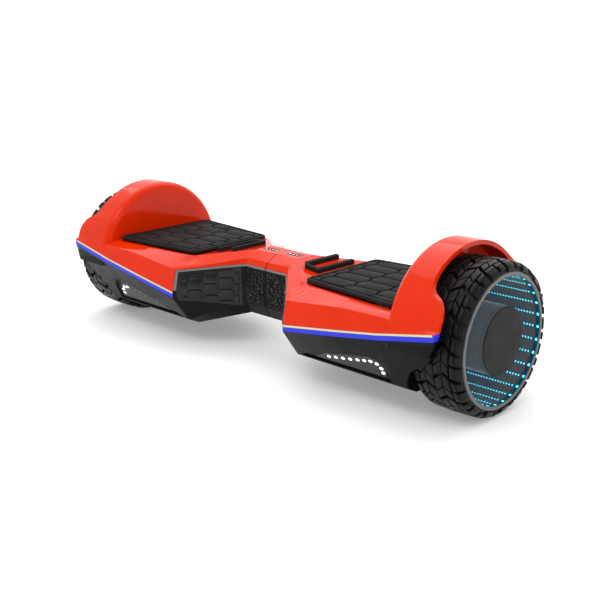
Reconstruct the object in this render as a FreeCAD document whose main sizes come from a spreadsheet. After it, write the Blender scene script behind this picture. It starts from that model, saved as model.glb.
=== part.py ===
import FreeCAD, Part
import math
import os
import re

import Sketcher
from FreeCAD import Placement, Rotation, Vector

# Self balancing board with two wheels, in millimetres.
# +X runs along the board to the right wheel, +Y to the back, +Z up. z = 0 is the ground under the tyres.
# Pieces are drawn for the right half, where x > 0. The left half is that half turned half a turn about Z,
# so in the left half's own coordinates the front of the board is on the +Y side.

SIZES = {
    "axle_height": 85,
    "axle_radius": 7.5,
    "axle_start": 206,
    "axle_end": 304,
    "tyre_radius": 85,
    "tyre_bore": 72,
    "tyre_inner_face": 261,
    "tyre_outer_face": 323,
    "tyre_shoulder": 8,
    "bezel_seat_gap": 0.4,
    "bezel_seat_depth": 0.8,
    "rim_inner_face": 266,
    "rim_outer_face": 309,
    "rim_bore": 65,
    "cover_thickness": 4,
    "magnet_thickness": 4,
    "stator_start": 275,
    "stator_length": 20,
    "magnet_overhang": 2,
    "air_gap": 0.8,
    "slot_count": 18,
    "slot_half_width": 3,
    "slot_length": 24,
    "bearing_radius": 16,
    "bearing_collar": 4,
    "bearing_width": 8,
    "running_clearance": 0.05,
    "bezel_radius": 74.6,
    "bezel_bore": 70,
    "bezel_face": 322.6,
    "window_face": 317.6,
    "window_thickness": 2,
    "mirror_thickness": 1.2,
    "mirror_gap": 1.8,
    "hub_cap_radius": 37.7,
    "hub_cap_face": 321.6,
    "hub_cap_edge": 2,
    "window_start": 7,
    "window_end": 34,
    "window_slant": 4,
    "window_front": 6,
    "window_back": 3,
    "window_depth": 1.4,
    "wall": 3.6,
    "seam": 0.6,
    "waist_end": 35,
    "waist_top": 127.5,
    "waist_bottom": 47,
    "waist_half_width": 33,
    "waist_top_half": 14,
    "waist_ridge_half": 29,
    "waist_ridge_drop": 8.5,
    "waist_lip_drop": 15.5,
    "waist_wall_drop": 19.5,
    "waist_side_bottom": 62,
    "waist_keel_half": 24,
    "corner_x": 97,
    "middle_x": 178,
    "shoulder_x": 232,
    "casing_end": 306,
    "half_width": 101.5,
    "ridge_half_width": 96,
    "belly_half_width": 77,
    "keel_half_width": 60,
    "deck_height": 118,
    "belly_height": 36,
    "keel_height": 28,
    "band_height": 8,
    "strip_depth": 3,
    "fender_start": 240,
    "fender_radius": 101,
    "fender_round": 9,
    "arch_radius": 96,
    "low_arch_radius": 88.5,
    "arch_wall": 256,
    "panel_thickness": 1.8,
    "recess_depth": 1.8,
    "pad_top": 124,
    "pad_thickness": 5.6,
    "pad_inner_x": 95,
    "pad_outer_x": 236,
    "pad_inner_half": 64,
    "pad_outer_half": 78,
    "pad_corner": 9,
    "pad_edge": 1.2,
    "pad_travel": 1.5,
    "pad_margin": 0.5,
    "pad_clearance": 0.3,
    "plunger_radius": 4,
    "plunger_length": 17,
    "plunger_gap": 1.5,
    "recess_height": 2.4,
    "dimple_x": 87,
    "dimple_y": 73,
    "dimple_z": 114,
    "dimple_slope": 0.46,
    "dimple_radius": 12,
    "dimple_depth": 1.6,
    "rib_rise": 5.5,
    "rib_start": 57,
    "rib_end": 84,
    "rib_closed_end": 29,
    "rib_short_end": 33,
    "rib_long_end": 37,
    "rib_chamfer": 6,
    "rib_width": 5.5,
    "floor_top": 42,
    "floor_thickness": 4,
    "floor_start": 86,
    "floor_end": 248,
    "floor_half_width": 50,
    "flange_thickness": 3,
    "flange_height": 10,
    "pedestal_start": 74,
    "pedestal_end": 90,
    "pedestal_width": 40,
    "pedestal_height": 24,
    "overlap": 1,
    "tube_radius": 15,
    "tube_bore": 12,
    "tube_half_length": 84,
    "tube_gap": 0.5,
    "axle_gap": 1,
    "boss_start": 44,
    "boss_end": 80,
    "boss_radius": 22.5,
    "bush_radius": 18.5,
    "clamp_start": 208,
    "clamp_length": 36,
    "clamp_half_width": 24,
    "clamp_top": 98,
    "clamp_screw_length": 28,
    "screw_radius": 2,
    "screw_head": 4,
    "screw_head_height": 3,
    "head_depth": 1.8,
    "head_gap": 0.2,
    "foot_radius": 7,
    "post_radius": 3.5,
    "post_x": 90,
    "post_y": 9,
    "board_thickness": 1.6,
    "board_post_height": 4,
    "gyro_board_half_width": 14,
    "gyro_board_start": 84,
    "gyro_board_end": 226,
    "battery_start": 96,
    "battery_length": 106,
    "battery_width": 76,
    "battery_height": 44,
    "battery_corner": 6,
    "socket_radius": 7,
    "socket_bore": 4.5,
    "socket_depth": 9,
    "socket_length": 13,
    "button_clearance": 0.3,
    "button_height": 90,
    "button_x": 18,
    "button_length": 12,
    "button_rise": 1.6,
    "collar_rise": 1.5,
    "collar_thickness": 1.5,
    "collar_gap": 0.1,
    "cap_radius": 8,
    "cap_thickness": 2,
    "cap_gap": 0.3,
    "lug_width": 8,
    "lug_height": 6,
    "lug_drop": 5,
    "clip_x": 81,
    "clip_width": 2,
    "clip_bore": 13.5,
    "clip_radius": 18,
    "bush_length": 14,
    "main_board_start": 100,
    "main_board_length": 62,
    "main_board_width": 68,
    "sink_start": 20,
    "sink_length": 36,
    "sink_side": 12,
    "sink_width": 38,
    "sink_height": 14,
    "capacitor_radius": 5,
    "capacitor_height": 18,
    "capacitor_y": 24,
    "speaker_radius": 18,
    "speaker_x": 184,
    "speaker_height": 14,
}

doc = FreeCAD.newDocument("self_balancing_board")
sheet = doc.addObject("Spreadsheet::Sheet", "sizes")
for row, (alias, value) in enumerate(SIZES.items(), start=1):
    sheet.set(f"A{row}", alias)
    sheet.set(f"B{row}", str(value))
    sheet.setAlias(f"B{row}", alias)
doc.recompute()

SIDES = {
    "right": Placement(),
    "left": Placement(Vector(), Rotation(Vector(0, 0, 1), 180)),
}
FRONT = {"right": -1, "left": 1}
ALONG_X = Rotation(Vector(0, 1, 0), 90)
ALONG_Y = Rotation(Vector(1, 0, 0), -90)
ALONG_Z = Rotation()
FAR = 400

# Outlines in the XZ plane, as (x, z).
OUTER_EDGE = [(280, 190), (280, 162), (286, 147), (297, 141), (304, 132), (305, 104),
              (300, 90), (286, 72), (267, 60), (259, 47), (257, 30), (257, 10)]
PANEL_LINE = [(39, 56), (94, 64), (94, 101), (39, 108)]
LENS_LINE = [(128, 42), (229, 42), (231, 52), (224, 61), (212, 64), (180, 58), (146, 51)]
RECESS_LINE = [(104, 38), (236, 38), (238, 56), (229, 67), (214, 70), (184, 65), (146, 57)]
HEAD_BOARD_LINE = [(150, 45), (222, 45), (224, 52), (212, 58), (180, 53), (156, 48)]

# Places of repeated pieces, as (x, y), and of the plungers along X.
CASING_SCREWS = [(x, y) for x in (106, 224) for y in (-38, 38)]
CLAMP_SCREWS = [(x, y) for x in (214, 238) for y in (-19, 19)]
PLUNGERS = (130, 195)
BOARD_POSTS = [(x, y) for x in (106, 156) for y in (-28, 28)]
CAPACITORS = (20, 34, 48)

# Stations of the casing along X: where, the edge of the deck, the height of the ridge,
# and the bottom of the light strip.
DECK_STATIONS = [
    ("corner_x", 68, 104.5, 69.3),
    ("middle_x", 77, 113, 81.3),
    ("shoulder_x", 83, 114.2, 90),
    ("casing_end", 88, 114.6, 104.5),
]
nodes = {}


def size(alias):
    return float(sheet.get(alias))


def bind(thing, **expressions):
    """Bind properties to the sheet: in an expression, @name is the cell with that alias."""
    for name, expression in expressions.items():
        thing.setExpression(name.replace("__", "."), re.sub(r"@(\w+)", r"sizes.\1", str(expression)))
    return thing


def box(name, x, y, z, length, width, height):
    made = bind(doc.addObject("Part::Box", name), Length=length, Width=width, Height=height)
    return bind(made, Placement__Base__x=x, Placement__Base__y=y, Placement__Base__z=z)


def rod(name, radius, length, x, y="0", z="@axle_height", turn=ALONG_X):
    """A cylinder from the point given, along X unless another turn is given."""
    made = bind(doc.addObject("Part::Cylinder", name), Radius=radius, Height=length)
    made.Placement = Placement(Vector(), turn)
    return bind(made, Placement__Base__x=x, Placement__Base__y=y, Placement__Base__z=z)


def cut(name, base, *tools):
    made = doc.addObject("Part::Cut", name)
    made.Base = base
    made.Tool = tools[0] if len(tools) == 1 else fuse(f"{name}_tools", *tools)
    return made


def fuse(name, *shapes):
    made = doc.addObject("Part::MultiFuse", name)
    made.Shapes = list(shapes)
    return made


def pipe(name, outer, inner, length, x, y="0", z="@axle_height", turn=ALONG_X):
    outside = rod(f"{name}_out", outer, length, x, y, z, turn)
    bore = rod(f"{name}_in", inner, length, x, y, z, turn)
    return cut(name, outside, bore)


def feature(name, shape):
    made = doc.addObject("Part::Feature", name)
    made.Shape = shape
    return made


def node(label, side, *pieces):
    """One named sub-part: its pieces together, placed on its side of the board."""
    made = doc.addObject("Part::Compound", label)
    made.Label = label
    made.Links = list(pieces)
    made.Placement = SIDES[side]
    nodes[label] = made


# Sketched pieces

def body(name, z="0"):
    return bind(doc.addObject("PartDesign::Body", name), Placement__Base__z=z)


def outline(owner, name, role, corners):
    """A closed outline of straight lines on the body's own plane, each corner bound to the sheet."""
    sketch = owner.newObject("Sketcher::SketchObject", name)
    plane = next(f for f in owner.Origin.OriginFeatures if f.Role == role)
    sketch.AttachmentSupport = [(plane, "")]
    sketch.MapMode = "FlatFace"
    count = len(corners)
    angles = [2 * math.pi * i / count for i in range(count)]
    start = [Vector(math.cos(angle), math.sin(angle), 0) for angle in angles]
    for i in range(count):
        sketch.addGeometry(Part.LineSegment(start[i], start[(i + 1) % count]), False)
    for i in range(count):
        sketch.addConstraint(Sketcher.Constraint("Coincident", i, 2, (i + 1) % count, 1))
    for i, (across, up) in enumerate(corners):
        for kind, value, expression in (("DistanceX", start[i].x, across), ("DistanceY", start[i].y, up)):
            number = sketch.addConstraint(Sketcher.Constraint(kind, -1, 1, i, 1, value))
            bind(sketch, **{f"Constraints[{number}]": expression})
    return sketch


def turned(owner, name, corners):
    """A solid of revolution about the wheel's axis: corners are (x, radius)."""
    made = owner.newObject("PartDesign::Revolution", name)
    made.Profile = outline(owner, f"{name}_profile", "XZ_Plane", corners)
    made.ReferenceAxis = (made.Profile[0], ["H_Axis"])
    made.Angle = 360
    doc.recompute()
    return made


def padded(owner, name, corners, length):
    """A plate: the outline on the ground plane of its body, raised by the length."""
    made = owner.newObject("PartDesign::Pad", name)
    made.Profile = outline(owner, f"{name}_outline", "XY_Plane", corners)
    bind(made, Length=length)
    doc.recompute()
    return made


def edges_of(shape, wanted):
    return [f"Edge{i}" for i, edge in enumerate(shape.Edges, start=1) if wanted(edge)]


def is_upright(edge):
    low, high = edge.Vertexes[0].Point, edge.Vertexes[-1].Point
    return abs(high.z - low.z) > 1 and math.hypot(high.x - low.x, high.y - low.y) < 0.01


def rounded(owner, name, base, wanted, radius, kind="PartDesign::Fillet", prop="Radius"):
    made = owner.newObject(kind, name)
    made.Base = (base, edges_of(base.Shape, wanted))
    bind(made, **{prop: radius})
    doc.recompute()
    return made


# Casing

def stations():
    """Half outlines of the casing, from the edge of the deck down to the keel, at places along X."""
    top, bottom, waist = size("waist_top"), size("waist_bottom"), size("waist_half_width")
    ridge, side, deck = size("ridge_half_width"), size("half_width"), size("deck_height")
    low = [(size("belly_half_width"), size("belly_height")), (size("keel_half_width"), size("keel_height"))]
    band = size("band_height")
    ridge_drop, lip_drop, wall_drop = size("waist_ridge_drop"), size("waist_lip_drop"), size("waist_wall_drop")
    narrow = [
        (size("waist_top_half"), top),
        (size("waist_ridge_half"), top - ridge_drop),
        (waist, top - lip_drop),
        (waist, top - wall_drop),
        (waist, size("waist_side_bottom")),
        (size("waist_keel_half"), bottom),
    ]
    found = [(size("seam"), narrow), (size("waist_end"), narrow)]
    for alias, deck_edge, ridge_height, band_bottom in DECK_STATIONS:
        upper = [(deck_edge, deck), (ridge, ridge_height), (side, band_bottom + band), (side, band_bottom)]
        found.append((size(alias), upper + low))
    return found


def half_outline(x):
    """The half outline at any x, between two stations."""
    table = stations()
    for (x0, first), (x1, second) in zip(table, table[1:]):
        if x0 <= x <= x1:
            part = (x - x0) / (x1 - x0)
            return [(y0 + (y1 - y0) * part, z0 + (z1 - z0) * part) for (y0, z0), (y1, z1) in zip(first, second)]
    raise ValueError(x)


def section(x, inset):
    """The closed outline at x, moved inwards by the inset all round."""
    half = half_outline(x)
    points = half + [(-y, z) for y, z in reversed(half)]
    count = len(points)
    normals = []
    for i in range(count):
        (y0, z0), (y1, z1) = points[i], points[(i + 1) % count]
        length = math.hypot(y1 - y0, z1 - z0)
        normals.append(((z1 - z0) / length, -(y1 - y0) / length))
    moved = []
    for i, (y, z) in enumerate(points):
        (ay, az), (by, bz) = normals[i - 1], normals[i]
        scale = inset / (1 + ay * by + az * bz)
        moved.append(Vector(x, y + (ay + by) * scale, z + (az + bz) * scale))
    return Part.makePolygon(moved + moved[:1])


def hull(inset, start, end):
    """The casing's body as one solid, inset all round, between two places along X."""
    places = [start] + [x for x, _ in stations() if start < x < end] + [end]
    return Part.makeLoft([section(x, inset) for x in places], True, True)


def disc(radius, start, end):
    return Part.makeCylinder(radius, end - start, Vector(start, 0, size("axle_height")), Vector(1, 0, 0))


def above_axle(shape):
    return shape.common(Part.makeBox(FAR, FAR, FAR, Vector(0, -FAR / 2, size("axle_height"))))


def prism(points, smooth=False, y0=-FAR / 2, y1=FAR / 2):
    """An XZ outline run along Y. A smooth outline is a curve through its points, closed by lines."""
    places = [Vector(x, y0, z) for x, z in points]
    if smooth:
        curve = Part.BSplineCurve()
        curve.interpolate(places)
        corners = [places[-1], Vector(0, y0, places[-1].z), Vector(0, y0, places[0].z), places[0]]
        lines = [Part.LineSegment(a, b).toShape() for a, b in zip(corners, corners[1:])]
        wire = Part.Wire([curve.toShape()] + lines)
    else:
        wire = Part.makePolygon(places + places[:1])
    return Part.Face(wire).extrude(Vector(0, y1 - y0, 0))


def casing():
    """The outside of the casing as a full solid, with its fender and its wheel arch."""
    start = size("fender_start")
    crown = disc(size("fender_radius"), start, size("casing_end"))
    inner_rim = [edge for edge in crown.Edges if abs(edge.BoundBox.XMax - start) < 0.1]
    crown = crown.makeFillet(size("fender_round"), inner_rim)
    whole = hull(0, size("seam"), size("casing_end")).fuse(above_axle(crown))
    whole = whole.common(prism(OUTER_EDGE, smooth=True))
    high_arch = above_axle(disc(size("arch_radius"), size("arch_wall"), FAR))
    return whole.cut([high_arch, disc(size("low_arch_radius"), size("arch_wall"), FAR)])


def hollow():
    wall = size("wall")
    end = size("arch_wall") - wall
    crown = disc(size("fender_radius") - wall, size("fender_start") + wall, end)
    return hull(wall, size("seam") + wall, end).fuse(above_axle(crown))


def band(rise):
    """The light strip's line along the front and back, from the inner corner to the wheel, raised by rise."""
    return [(x, half[3][1] + rise) for x, half in stations() if x >= size("corner_x")]


def inner_face(inset):
    return hull(inset, size("seam") + inset, size("arch_wall"))


outside = casing()
inside = hollow()
shell = outside.cut(inside)
outside_feature = feature("casing_outside", outside)
waist_lip = size("waist_top") - size("waist_lip_drop")
band_top = band(size("band_height"))
corner, corner_ridge = size(DECK_STATIONS[0][0]), DECK_STATIONS[0][2]
parting = [(0, waist_lip), (size("waist_end"), waist_lip), (corner, corner_ridge)] + band_top
upper_region = prism(parting + [(FAR, band_top[-1][1]), (FAR, FAR), (0, FAR)])
strips = outside.cut(inner_face(size("strip_depth"))).common(prism(band(0) + band_top[::-1]))
panels = outside.cut(inner_face(size("panel_thickness"))).common(prism(PANEL_LINE))


def half_space(front):
    """Everything on the front side of the board, in the half's own coordinates."""
    low = Vector(0, 0 if front > 0 else -FAR, 0)
    return Part.makeBox(FAR, FAR, FAR, low)


def pad_recess():
    """The shallow pocket that the foot pad lies in, and the two holes for its plungers."""
    margin = size("pad_margin")
    x0, x1 = size("pad_inner_x") - margin, size("pad_outer_x") + margin
    y0, y1 = size("pad_inner_half") + margin, size("pad_outer_half") + margin
    bottom = size("pad_top") - size("pad_thickness") - size("pad_travel") - size("pad_clearance")
    corners = [Vector(x0, -y0, bottom), Vector(x1, -y1, bottom), Vector(x1, y1, bottom), Vector(x0, y0, bottom)]
    pocket = Part.Face(Part.makePolygon(corners + corners[:1])).extrude(Vector(0, 0, size("recess_height")))
    uprights = [edge for edge in pocket.Edges if is_upright(edge)]
    pocket = pocket.makeFillet(size("pad_corner"), uprights)
    radius, length = size("plunger_radius") + size("plunger_gap"), size("plunger_length")
    for x in PLUNGERS:
        pocket = pocket.fuse(Part.makeCylinder(radius, 2 * length, Vector(x, 0, bottom - length)))
    return pocket


def dimple(front):
    """A shallow round hollow in the top, at the corner between the waist and the deck."""
    radius, depth = size("dimple_radius"), size("dimple_depth")
    place = Vector(size("dimple_x"), front * size("dimple_y"), size("dimple_z"))
    outward = Vector(0, front * size("dimple_slope"), 1).normalize()
    ball = (radius ** 2 + depth ** 2) / (2 * depth)
    return Part.makeSphere(ball, place + outward * (ball - depth))


def shells(side):
    """The upper and the lower shell of one side, with every opening cut."""
    front = FRONT[side]
    lens_through = prism(LENS_LINE).common(half_space(front))
    skin = outside.cut(inner_face(size("recess_depth")))
    head_recess = prism(RECESS_LINE).common(half_space(front)).common(skin)
    openings = [strips, panels, lens_through, head_recess, pad_recess(), dimple(front)]
    openings.append(disc(size("tube_radius") + size("tube_gap"), 0, size("seam") + 2 * size("wall")))
    openings.append(disc(size("axle_radius") + size("axle_gap"), size("fender_start"), size("tyre_inner_face")))
    for x, y in CASING_SCREWS:
        place = Vector(x, y, size("keel_height"))
        openings.append(Part.makeCylinder(size("screw_head"), size("head_depth"), place))
        openings.append(Part.makeCylinder(size("screw_radius"), 2 * size("wall"), place))
    behind = size("waist_half_width") - 2 * size("wall")
    start = Vector(size("button_x"), -front * behind, size("button_height"))
    openings.append(Part.makeCylinder(size("socket_radius"), 4 * size("wall"), start, Vector(0, -front, 0)))
    openings.append(indicator_block(front))
    whole = shell.cut(openings)
    return whole.common(upper_region), whole.cut(upper_region)


def indicator_block(front):
    """The tapered window in the top of the waist, wide towards the front."""
    x0, x1, slant = size("window_start"), size("window_end"), size("window_slant")
    y0, y1 = -size("window_front"), size("window_back")
    depth = Vector(0, 0, 2 * size("window_depth"))
    points = [(x0, y0), (x1, y0), (x1 - slant, y1), (x0 + slant, y1)]
    places = [Vector(x, y * -front, size("waist_top") - size("window_depth")) for x, y in points]
    return Part.Face(Part.makePolygon(places + places[:1])).extrude(depth)


def headlight_lens(front):
    """The smoked lens, flush with the bottom of its recess."""
    layer = inner_face(size("recess_depth")).cut(inside)
    return prism(LENS_LINE).common(half_space(front)).common(layer)


def headlight_board(front):
    """The thin board behind the lens that carries the lights."""
    wall = size("wall")
    layer = inner_face(wall).cut(inner_face(wall + size("board_thickness")))
    return prism(HEAD_BOARD_LINE).common(half_space(front)).common(layer)


for side, front in FRONT.items():
    upper, lower = shells(side)
    casing_parts = {
        "upper_shell": upper,
        "lower_shell": lower,
        "light_strips": strips,
        "inner_panels": panels,
        "headlight_lens": headlight_lens(front),
        "headlight_board": headlight_board(front),
        "indicator_window": indicator_block(front).common(outside),
    }
    for name, shape in casing_parts.items():
        node(f"{side}_{name}", side, feature(f"{side}_{name}_shape", shape))


# Wheel

COLLAR_RADIUS = "@bearing_radius + @bearing_collar"


def rim_body():
    owner = body("rim_body", "@axle_height")
    inner, outer, bore = "@rim_inner_face", "@rim_outer_face", "@rim_bore"
    disc_face = f"{outer} - @cover_thickness"
    collar = f"{disc_face} - @bearing_width"
    turned(owner, "rim_turning", [
        (inner, bore), (inner, "@tyre_bore"), (outer, "@tyre_bore"), (outer, "0"), (disc_face, "0"),
        (disc_face, "@bearing_radius"), (collar, "@bearing_radius"), (collar, COLLAR_RADIUS),
        (disc_face, COLLAR_RADIUS), (disc_face, bore),
    ])
    return owner


def inner_cover_body():
    owner = body("inner_cover_body", "@axle_height")
    outer = "@rim_inner_face"
    inner = f"{outer} - @cover_thickness"
    end = f"{inner} + @bearing_width"
    turned(owner, "inner_cover_turning", [
        (inner, "@bearing_radius"), (inner, "@tyre_bore"), (outer, "@tyre_bore"),
        (outer, COLLAR_RADIUS), (end, COLLAR_RADIUS), (end, "@bearing_radius"),
    ])
    return owner


def tyre_body():
    owner = body("tyre_body", "@axle_height")
    inner, outer, shoulder = "@tyre_inner_face", "@tyre_outer_face", "@tyre_shoulder"
    seat, recess = "@bezel_radius + @bezel_seat_gap", "@window_face - @bezel_seat_depth"
    turned(owner, "tyre_turning", [
        (inner, "@tyre_bore"), (inner, f"@tyre_radius - {shoulder}"), (f"{inner} + {shoulder}", "@tyre_radius"),
        (f"{outer} - {shoulder}", "@tyre_radius"), (outer, f"@tyre_radius - {shoulder}"),
        (outer, seat), (recess, seat), (recess, "@tyre_bore"),
    ])
    return owner


def hub_cap_body():
    owner = body("hub_cap_body", "@axle_height")
    base, face, radius = "@rim_outer_face", "@hub_cap_face", "@hub_cap_radius"
    cap = turned(owner, "hub_cap_turning", [(base, "0"), (base, radius), (face, radius), (face, "0")])
    near_face = size("hub_cap_face") - 0.1
    rounded(owner, "hub_cap_round", cap, lambda edge: edge.BoundBox.XMin > near_face, "@hub_cap_edge")
    return owner


def stator_body():
    """Laminations on the axle, with winding slots all round."""
    owner = body("stator_body", "@axle_height")
    start, radius = "@stator_start", "@rim_bore - @magnet_thickness - @air_gap"
    end = f"{start} + @stator_length"
    core = turned(owner, "stator_turning", [
        (start, "@axle_radius"), (start, radius), (end, radius), (end, "@axle_radius"),
    ])
    slot = owner.newObject("PartDesign::Pocket", "stator_slot")
    side, bottom, top = "@slot_half_width", "@rim_bore - @slot_length", "@rim_bore"
    slot.Profile = outline(owner, "stator_slot_outline", "YZ_Plane", [
        (f"-{side}", bottom), (side, bottom), (side, top), (f"-{side}", top),
    ])
    slot.Type = "ThroughAll"
    slot.Reversed = True
    doc.recompute()
    if slot.Shape.Volume >= core.Shape.Volume:
        raise RuntimeError("the stator slot cuts nothing")
    pattern = owner.newObject("PartDesign::PolarPattern", "stator_slots")
    pattern.Originals = [slot]
    pattern.Axis = (next(f for f in owner.Origin.OriginFeatures if f.Role == "X_Axis"), [""])
    pattern.Angle = 360
    bind(pattern, Occurrences="@slot_count")
    owner.Tip = pattern
    doc.recompute()
    return owner


def foot_pad():
    """The rubber pad and the two plungers under it that press the switches of the gyro board."""
    owner = body("pad_body", "@pad_top - @pad_thickness")
    inner, outer, near, far = "@pad_inner_x", "@pad_outer_x", "@pad_inner_half", "@pad_outer_half"
    plate = padded(owner, "pad_plate", [
        (inner, f"-{near}"), (outer, f"-{far}"), (outer, far), (inner, near),
    ], "@pad_thickness")
    soft = rounded(owner, "pad_corners", plate, is_upright, "@pad_corner")
    top = size("pad_thickness")
    rounded(owner, "pad_top_edge", soft, lambda edge: edge.BoundBox.ZMin > top - 0.1, "@pad_edge",
            "PartDesign::Chamfer", "Size")
    low = "@pad_top - @pad_thickness - @plunger_length"
    length = "@plunger_length + @overlap"
    plungers = [rod(f"plunger_{x}", "@plunger_radius", length, x, "0", low, ALONG_Z) for x in PLUNGERS]
    return fuse("pad_with_plungers", owner, *plungers)


def edge_rib():
    """The raised rubber rib between the pad and the waist: two bars joined at one end, following the casing."""
    owner = body("rib_body", corner_ridge)
    inner, outer, wide = "@rib_start", "@rib_end", "@rib_width"
    closed, chamfer, short, tall = "-@rib_closed_end", "@rib_chamfer", "@rib_short_end", "@rib_long_end"
    padded(owner, "rib_plate", [
        (inner, short), (inner, f"{closed} + {chamfer}"), (f"{inner} + {chamfer}", closed), (outer, closed),
        (outer, tall), (f"{outer} - {wide}", tall), (f"{outer} - {wide}", f"{closed} + {wide}"),
        (f"{inner} + {wide}", f"{closed} + {wide}"), (f"{inner} + {wide}", short),
    ], "@waist_top")
    raised = feature("raised_casing", outside.translated(Vector(0, 0, size("rib_rise"))))
    low = doc.addObject("Part::MultiCommon", "rib_height")
    low.Shapes = [owner, raised]
    return cut("rib_on_casing", low, outside_feature)


def frame(side):
    """The cast frame: floor, boss for the centre tube, axle seat, feet and posts."""
    owner = body(f"{side}_frame_body", "@floor_top - @floor_thickness")
    start, end, half = "@floor_start", "@floor_end", "@floor_half_width"
    padded(owner, f"{side}_frame_floor", [(start, f"-{half}"), (end, f"-{half}"), (end, half), (start, half)],
           "@floor_thickness")
    sunk = "@floor_top - @overlap"
    solids = [owner]
    for y in (f"-{half}", f"{half} - @flange_thickness"):
        solids.append(box(f"{side}_flange", start, y, sunk, f"{end} - {start}", "@flange_thickness",
                          "@flange_height + @overlap"))
    solids.append(box(f"{side}_pedestal", "@pedestal_start", "-@pedestal_width / 2", f"{sunk} - @overlap",
                      "@pedestal_end - @pedestal_start", "@pedestal_width",
                      "@pedestal_height + @overlap * 2"))
    solids.append(rod(f"{side}_boss", "@boss_radius", "@boss_end - @boss_start", "@boss_start"))
    solids.append(box(f"{side}_axle_seat", "@clamp_start", "-@clamp_half_width", sunk,
                      "@clamp_length", "@clamp_half_width * 2", f"@axle_height - ({sunk})"))
    inner_floor = "@keel_height + @wall"
    foot_height = f"@floor_top - ({inner_floor})"
    for x, y in CASING_SCREWS:
        solids.append(rod(f"{side}_foot", "@foot_radius", foot_height, x, y, inner_floor, ALONG_Z))
    for sign in ("-", ""):
        solids.append(rod(f"{side}_post", "@post_radius", f"@clamp_top - ({sunk})", "@post_x",
                          f"{sign}@post_y", sunk, ALONG_Z))
    if side == "right":
        height = "@board_post_height + @overlap"
        solids += [rod("board_post", "@post_radius", height, x, y, sunk, ALONG_Z) for x, y in BOARD_POSTS]
    bore = "@bush_radius" if side == "right" else "@tube_radius"
    holes = [
        rod(f"{side}_bore", bore, "@tube_half_length - @boss_start + @overlap * 2", "@boss_start - @overlap"),
        axle_seat(f"{side}_seat"),
    ]
    for x, y in CASING_SCREWS:
        holes.append(rod(f"{side}_screw_hole", "@screw_radius", "@floor_top - @keel_height + @overlap",
                         x, y, "@keel_height", ALONG_Z))
    holes += clamp_holes(f"{side}_clamp_hole")
    return cut(f"{side}_frame_cut", fuse(f"{side}_frame_solid", *solids), *holes)


def axle_seat(name):
    return rod(name, "@axle_radius", "@clamp_length + @overlap * 4", "@clamp_start - @overlap * 2")


def clamp_holes(name):
    length = "@clamp_screw_length + @overlap * 2"
    bottom = "@clamp_top - @clamp_screw_length"
    return [rod(name, "@screw_radius", length, x, y, bottom, ALONG_Z) for x, y in CLAMP_SCREWS]


def axle_clamp():
    block = box("clamp_block", "@clamp_start", "-@clamp_half_width", "@axle_height",
                "@clamp_length", "@clamp_half_width * 2", "@clamp_top - @axle_height")
    return cut("clamp_cut", block, axle_seat("clamp_seat"), *clamp_holes("clamp_hole"))


def screws():
    """Four casing screws from below and four clamp screws from above."""
    made = []
    bottom = "@keel_height + @overlap"
    for x, y in CASING_SCREWS:
        head = rod("casing_screw_head", "@screw_head", "@head_depth - @head_gap", x, y,
                   "@keel_height + @head_gap", ALONG_Z)
        shank = rod("casing_screw_shank", "@screw_radius", f"@floor_top - ({bottom})", x, y, bottom, ALONG_Z)
        made.append(fuse("casing_screw", head, shank))
    for x, y in CLAMP_SCREWS:
        head = rod("clamp_screw_head", "@screw_head", "@screw_head_height", x, y, "@clamp_top", ALONG_Z)
        shank = rod("clamp_screw_shank", "@screw_radius", "@clamp_screw_length", x, y,
                    "@clamp_top - @clamp_screw_length + @overlap", ALONG_Z)
        made.append(fuse("clamp_screw", head, shank))
    return made


def battery():
    owner = body("battery_body", "@floor_top")
    start, half = "@battery_start", "@battery_width / 2"
    end = f"{start} + @battery_length"
    block = padded(owner, "battery_block", [(start, f"-{half}"), (end, f"-{half}"), (end, half), (start, half)],
                   "@battery_height")
    rounded(owner, "battery_corners", block, is_upright, "@battery_corner")
    return owner


def main_board():
    """The controller: the board on its posts, its heat sink and three capacitors."""
    start, level = "@main_board_start", "@floor_top + @board_post_height"
    top = f"{level} + @board_thickness"
    board = box("controller_board", start, "-@main_board_width / 2", level,
                "@main_board_length", "@main_board_width", "@board_thickness")
    sink = box("heat_sink", f"{start} + @sink_start", "-@sink_side", top,
               "@sink_length", "@sink_width", "@sink_height")
    tall = [
        rod("capacitor", "@capacitor_radius", "@capacitor_height", f"{start} + {x}", "-@capacitor_y", top, ALONG_Z)
        for x in CAPACITORS
    ]
    return [board, sink, *tall]


def charge_socket():
    """The round charging inlet in the back of the left waist, a blind bore with its mouth at the wall."""
    back = "-@waist_half_width"
    holder = rod("socket_body", "@socket_radius", "@socket_length", "@button_x", back, "@button_height", ALONG_Y)
    bore = rod("socket_hole", "@socket_bore", "@socket_depth", "@button_x", back, "@button_height", ALONG_Y)
    return cut("socket_cut", holder, bore)


def port_cap():
    """The rubber flap over the charging inlet, with the lug that it turns on."""
    back = "-@waist_half_width - @cap_gap - @cap_thickness"
    flap = rod("cap_flap", "@cap_radius", "@cap_thickness", "@button_x", back, "@button_height", ALONG_Y)
    lug = box("cap_lug", "@button_x - @lug_width / 2", back, "@button_height + @lug_drop",
              "@lug_width", "@cap_thickness", "@lug_height")
    return fuse("cap_solid", flap, lug)


def power_button():
    """The round push button in the back of the right waist, with the collar that keeps it in."""
    radius = "@socket_radius - @button_clearance"
    inner = "@waist_half_width + @button_rise - @button_length"
    stem = rod("button_stem", radius, "@button_length", "@button_x", inner, "@button_height", ALONG_Y)
    collar = rod("button_collar", "@socket_radius + @collar_rise", "@collar_thickness", "@button_x",
                 "@waist_half_width - @wall - @collar_gap - @collar_thickness", "@button_height", ALONG_Y)
    return fuse("button_solid", stem, collar)


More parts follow.
